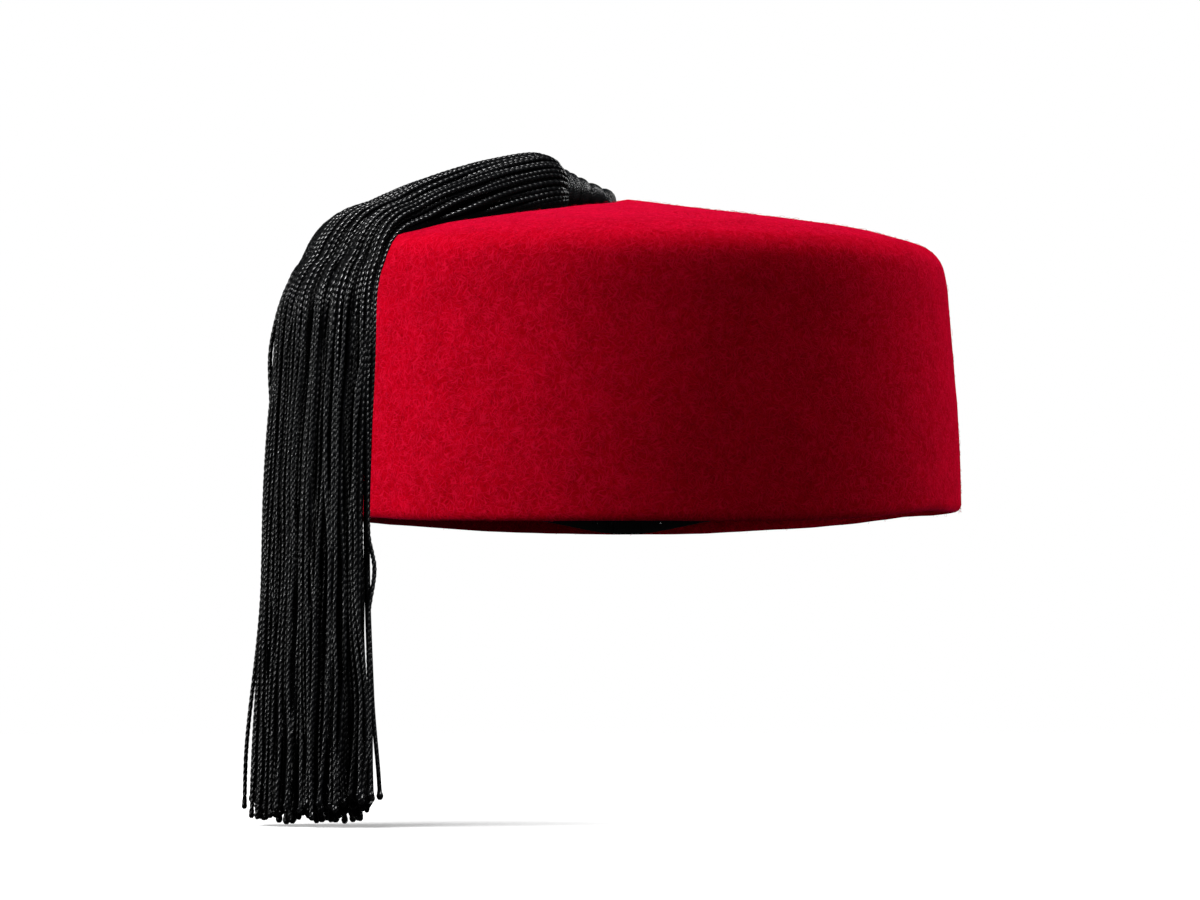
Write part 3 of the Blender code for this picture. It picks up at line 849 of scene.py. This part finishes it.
coreFaces = gridFaces(61, 28) + [tuple(range(27, -1, -1)), tuple(60 * 28 + k for k in range(28))]
bindingCore = meshObject("tasselBindingCore", core, flipped(coreFaces), threadMaterial)
print("binding wound", len(bindingPiece.data.polygons), "faces")


# Cord through the crown and its knot

holeAt = towardsTassel(aboveFelt(np.array(tasselCord["holeFromMiddle"]), 0.0), 0.0)
drops = np.linspace(-0.0004, tasselCord["drop"], 10)
path = np.array([[holeAt[0], holeAt[1], holeAt[2] - drop] for drop in drops])
knot = []
for t in np.linspace(0, 2 * math.pi, 90):
    knot.append([holeAt[0] + tasselCord["knotSize"] * (math.sin(t) + 2 * math.sin(2 * t)),
                 holeAt[1] + tasselCord["knotSize"] * (math.cos(t) - 2 * math.cos(2 * t)),
                 holeAt[2] - tasselCord["knotBelow"] - 0.0012 * math.sin(3 * t)])
cordPiece = lineHost("crownCord", [plainLine(path), plainLine(np.array(knot), tasselCord["knotThickness"])])
finishNodes(cordPiece, cords, {"Radius": tasselCord["radius"] * 0.98, "Plies": 3, "Groove": 0.30,
                               "Ply pitch": tasselCord["plyPitch"], "Turned": 1.0, "Section points": 18,
                               "Material": cordMaterial})
print("crown cord made", len(cordPiece.data.polygons), "faces")


# Sweatband

band = {
    "width": 0.026,
    "thickness": 0.0008,
    "aboveRim": 0.0046,
    "joinDrop": 0.0046,
    "joinSpread": 0.022,
    "lap": 0.0105,
    "stitchStep": 0.0052,
    "stitchLength": 0.0030,
    "stitchInset": 0.0022,
    "threadRadius": 0.00022,
    "unrolledRadius": 0.0905,  # which the ribs are spaced by
}


def radiusAtHeight(height):
    return np.interp(-np.asarray(height), -outlinePoints[:, 1], outlinePoints[:, 0])


def bandPoint(angle, rise, inward):
    # A place on the ribbon: round the rim, up its width, and in from the felt.
    lapAngle = band["lap"] / (crown["rimRadius"] - crown["wall"])
    last = math.pi / 2 + 2 * math.pi + lapAngle / 2
    fromJoin = [math.remainder(a - math.pi / 2, 2 * math.pi) for a in np.ravel(angle)]
    fromJoin = np.array(fromJoin).reshape(np.shape(angle))
    dip = band["joinDrop"] * np.exp(-((fromJoin * crown["rimRadius"] / band["joinSpread"]) ** 2))
    under = (band["thickness"] + 0.0003) * smoothStep(last - 0.5, last - lapAngle * 1.3, angle)
    height = band["aboveRim"] - dip + rise
    radius = radiusAtHeight(height) - crown["wall"] - 0.0003 - under - inward
    return onCrown(radius, height, angle)


def sweatband():
    # The ribbon as a closed strip with soft edges, its ends lapped at the back.
    lapAngle = band["lap"] / (crown["rimRadius"] - crown["wall"])
    columns, rows = 420, 14
    angles = np.linspace(math.pi / 2 - lapAngle / 2, math.pi / 2 + 2 * math.pi + lapAngle / 2, columns)
    rises = np.linspace(0.0, band["width"], rows)
    section = [(rise, 0.0) for rise in rises] + [(band["width"], band["thickness"] / 2)]
    section += [(rise, band["thickness"]) for rise in rises[::-1]] + [(0.0, band["thickness"] / 2)]
    around = len(section)
    points = []
    uvs = []
    for angle in angles:
        for rise, inward in section:
            pucker = 0.00010 * math.sin(angle * crown["rimRadius"] / band["stitchStep"] * 2 * math.pi) * (
                1 - min(rise / 0.008, 1.0)) if inward > 0 else 0.0
            points.append(bandPoint(np.array(angle), np.array(rise), np.array(inward + pucker)))
            uvs.append(((angle - angles[0]) * band["unrolledRadius"], rise + 0.03 * (inward == 0.0)))
    faces = gridFaces(columns, around)
    faces += [tuple(range(around - 1, -1, -1)), tuple((columns - 1) * around + k for k in range(around))]
    piece = meshObject("ribbonSweatband", points, faces, ribbonMaterial)
    layer = piece.data.uv_layers.new(name="ribbon")
    for loop in piece.data.loops:
        layer.data[loop.index].uv = uvs[loop.vertex_index]
    return piece


def stitchTree():
    # Short stitches set out along a line, each a bent thread that dips in at both ends.
    tree, given = newTree("runningStitch", [
        ("Step", "Float", 0.005), ("Length", "Float", 0.003), ("Thickness", "Float", 0.00022),
        ("Material", "Material", None)])
    line = addNode(tree, "GeometryNodeMeshToCurve", None, {"Mesh": given["Geometry"]})
    spots = addNode(tree, "GeometryNodeCurveToPoints", {"mode": "LENGTH"},
                    {"Curve": line, "Length": given["Step"]})
    half = calc(tree, "MULTIPLY", given["Length"], 0.5)
    back = calc(tree, "MULTIPLY", given["Length"], -0.5)
    low = calc(tree, "MULTIPLY", given["Thickness"], -1.2)
    high = calc(tree, "MULTIPLY", given["Thickness"], 2.0)
    first = addNode(tree, "ShaderNodeCombineXYZ", None, {"X": low, "Z": back})
    middle = addNode(tree, "ShaderNodeCombineXYZ", None, {"X": high})
    last = addNode(tree, "ShaderNodeCombineXYZ", None, {"X": low, "Z": half})
    bow = addNode(tree, "GeometryNodeCurveQuadraticBezier", None,
                  {"Resolution": 7, "Start": first, "Middle": middle, "End": last})
    ring = addNode(tree, "GeometryNodeCurvePrimitiveCircle", {"mode": "RADIUS"},
                   {"Resolution": 6, "Radius": given["Thickness"]})
    thread = addNode(tree, "GeometryNodeCurveToMesh", None,
                     {"Curve": bow, "Profile Curve": ring, "Fill Caps": True})
    facing = addNode(tree, "FunctionNodeAlignRotationToVector", {"axis": "Z"},
                     {"Vector": spots.outputs["Tangent"]})
    at = addNode(tree, "GeometryNodeInputPosition")
    level = calcVector(tree, "MULTIPLY", at, (-1.0, -1.0, 0.0))
    inward = addNode(tree, "FunctionNodeAlignRotationToVector", {"axis": "X", "pivot_axis": "Z"},
                     {"Rotation": facing, "Vector": level})
    laid = addNode(tree, "GeometryNodeInstanceOnPoints", None,
                   {"Points": spots.outputs["Points"], "Instance": thread, "Rotation": inward})
    soft = addNode(tree, "GeometryNodeSetShadeSmooth", None, {"Geometry": laid})
    return giveOut(tree, soft, given["Material"])


ribbon = sweatband()
stitchAngles = np.linspace(math.pi / 2 + 0.1, math.pi / 2 + 2 * math.pi - 0.1, 400)
still = 0 * stitchAngles
stitchLines = [plainLine(bandPoint(stitchAngles, band["stitchInset"] + still, band["thickness"] + still))]
for side in (-0.42, 0.42):
    rises = np.linspace(0.0015, band["width"] - 0.0015, 40)
    lapHalf = band["lap"] / 2 / (crown["rimRadius"] - crown["wall"])
    seamAngle = math.pi / 2 + (2 * math.pi if side > 0 else 0.0) + 2 * side * lapHalf
    reachIn = band["thickness"] * (1 if side > 0 else 2) + (0.0003 if side < 0 else 0.0)
    stitchLines.append(plainLine(bandPoint(seamAngle + 0 * rises, rises, reachIn + 0 * rises)))
stitches = lineHost("sweatbandStitches", stitchLines)
finishNodes(stitches, stitchTree(), {"Step": band["stitchStep"], "Length": band["stitchLength"],
                                     "Thickness": band["threadRadius"], "Material": threadMaterial})
print("sweatband made", len(stitches.data.polygons), "stitch faces")


# Pieces onto the frame

feltPieces = [felt, *fibrePieces]
darkPieces = [ribbon, stitches, *cordPieces, bindingPiece, bindingCore, cordPiece]
for piece in feltPieces:
    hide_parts("felt_crown")
for piece in (ribbon, stitches):
    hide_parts("sweatband")
for piece in cordPieces:
    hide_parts("tassel_skirt")
for piece in (bindingPiece, bindingCore):
    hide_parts("tassel_binding")
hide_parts("tassel_cord")
for piece in feltPieces + darkPieces:
    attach(piece, "root")


# Studio

studio = {
    "floorHeight": -0.0834,
    "floorRadius": 3.0,
    "backdropRadius": 9.0,
    "white": "#FFFFFF",
    "worldStrength": 0.03,
    "lens": 211.2,
    "cameraPlace": (-0.00795, -2.0, -0.0419),
    "cameraTarget": (-0.00795, 0.0, 0.0222),
}


def glow(name, colour, strength):
    material = bpy.data.materials.new(name)
    material.use_nodes = True
    tree = material.node_tree
    tree.nodes.clear()
    light = addNode(tree, "ShaderNodeEmission", None, {"Color": hexColour(colour), "Strength": strength})
    addNode(tree, "ShaderNodeOutputMaterial", None, {0: light})
    return material


def paleFloor():
    # Matt white studio floor, lit from within a little so that it stays white away from the object.
    material, tree, shader = newMaterial("paleStudioFloor")
    # the glow grows with distance, where the lights no longer reach
    place = objectPlace(tree)
    far = calcVector(tree, "DISTANCE", place, (-0.086, -0.052, studio["floorHeight"]))
    grow = addNode(tree, "ShaderNodeMapRange", {"interpolation_type": "SMOOTHSTEP"},
                   {"Value": far.outputs["Value"], "From Min": 0.03, "From Max": 0.20,
                    "To Min": 0.40, "To Max": 1.0})
    connect(tree, shader, {"Base Color": hexColour("#D8D8D8"), "Roughness": 0.9, "Specular IOR Level": 0.0,
                           "Emission Strength": grow, "Emission Color": (1, 1, 1, 1)})
    count = 96
    reach = studio["floorRadius"]
    ring = [(reach * math.cos(2 * math.pi * k / count), reach * math.sin(2 * math.pi * k / count),
             studio["floorHeight"]) for k in range(count)]
    piece = meshObject("studioFloor", ring, [tuple(range(count))], material, False)
    piece.visible_diffuse = False
    piece.visible_glossy = False
    return piece


def backdrop():
    # A plain white surround that only the camera sees.
    points = []
    rings, sides = 24, 48
    reach = studio["backdropRadius"]
    for r in range(rings + 1):
        tilt = math.pi * r / rings
        for s in range(sides):
            turn = 2 * math.pi * s / sides
            points.append((reach * math.sin(tilt) * math.cos(turn), reach * math.sin(tilt) * math.sin(turn),
                           reach * math.cos(tilt)))
    white = glow("whiteBackdrop", studio["white"], 1.0)
    piece = meshObject("studioBackdrop", points, gridFaces(rings + 1, sides), white)
    piece.visible_diffuse = False
    piece.visible_glossy = False
    piece.visible_transmission = False
    piece.visible_shadow = False
    return piece


def aim(thing, place, target):
    thing.location = place
    thing.rotation_euler = (Vector(target) - Vector(place)).to_track_quat("-Z", "Y").to_euler()


def softbox(name, place, target, width, height, power):
    data = bpy.data.lights.new(name, "AREA")
    data.shape = "RECTANGLE"
    data.size = width
    data.size_y = height
    data.energy = power
    lamp = bpy.data.objects.new(name, data)
    scene.collection.objects.link(lamp)
    aim(lamp, place, target)
    return lamp


floor = paleFloor()
backdrop()


def gathered(name, pieces):
    group = bpy.data.collections.new(name)
    for piece in pieces:
        group.objects.link(piece)
    return group


def lightOnly(lamp, lit, through=()):
    # Keeps a light to some pieces. The pieces in through cast no shadow in it.
    lamp.light_linking.receiver_collection = gathered(lamp.name + "Lit", lit)
    if through:
        unshaded = gathered(lamp.name + "Open", through)
        for item in unshaded.collection_objects:
            item.light_linking.link_state = "EXCLUDE"
        lamp.light_linking.blocker_collection = unshaded


for piece in feltPieces:
    piece.visible_glossy = False
for name, place, target, width, height, power, lit, through in (
        ("feltLeftSoftbox", (-1.6, -0.18, 0.30), (0, 0, 0.04), 0.9, 0.9, 34.0, feltPieces, darkPieces),
        ("feltRightSoftbox", (1.25, 0.90, 0.25), (0, 0, 0.04), 0.8, 0.9, 24.0, feltPieces, ()),
        ("feltTopSoftbox", (-0.10, 0.10, 1.35), (0, 0, 0.05), 0.9, 0.9, 18.0, feltPieces, darkPieces),
        ("feltFrontSoftbox", (0.30, -1.80, 0.30), (0, 0, 0.04), 1.4, 1.4, 5.0, feltPieces, ()),
        ("tasselSoftbox", (-1.62, -0.62, 0.42), (-0.08, -0.05, 0.0), 0.30, 0.30, 17.5, darkPieces, ()),
        ("tasselTopSoftbox", (0.35, -0.80, 1.15), (-0.03, 0, 0.09), 0.25, 0.25, 34.0, darkPieces, ()),
        ("tasselBackSoftbox", (1.1, 1.4, 0.60), (-0.06, 0.0, 0.0), 0.5, 0.5, 5.5, darkPieces, ())):
    lightOnly(softbox(name, place, target, width, height, power), lit, through)
floorLight = softbox("floorSoftbox", (-0.50, -0.40, 0.90), (-0.09, -0.05, -0.08), 0.8, 0.8, 20.0)
lightOnly(floorLight, [floor])
floorLight.light_linking.blocker_collection = gathered("floorShading", cordPieces)

world = bpy.data.worlds.new("studioWorld")
world.use_nodes = True
connect(world.node_tree, world.node_tree.nodes["Background"], {0: (1, 1, 1, 1), 1: studio["worldStrength"]})
scene.world = world

cameraData = bpy.data.cameras.new("photoCamera")
camera = bpy.data.objects.new("photoCamera", cameraData)
scene.collection.objects.link(camera)
cameraData.sensor_width = 36.0
cameraData.lens = studio["lens"]
aim(camera, studio["cameraPlace"], studio["cameraTarget"])
cameraData.clip_start = 0.05
cameraData.clip_end = 30.0
scene.camera = camera
scene.view_settings.view_transform = "Standard"
print("studio set")

triangles = sum(len(face.vertices) - 2 for piece in feltPieces + darkPieces for face in piece.data.polygons)
print("triangles in all", triangles)
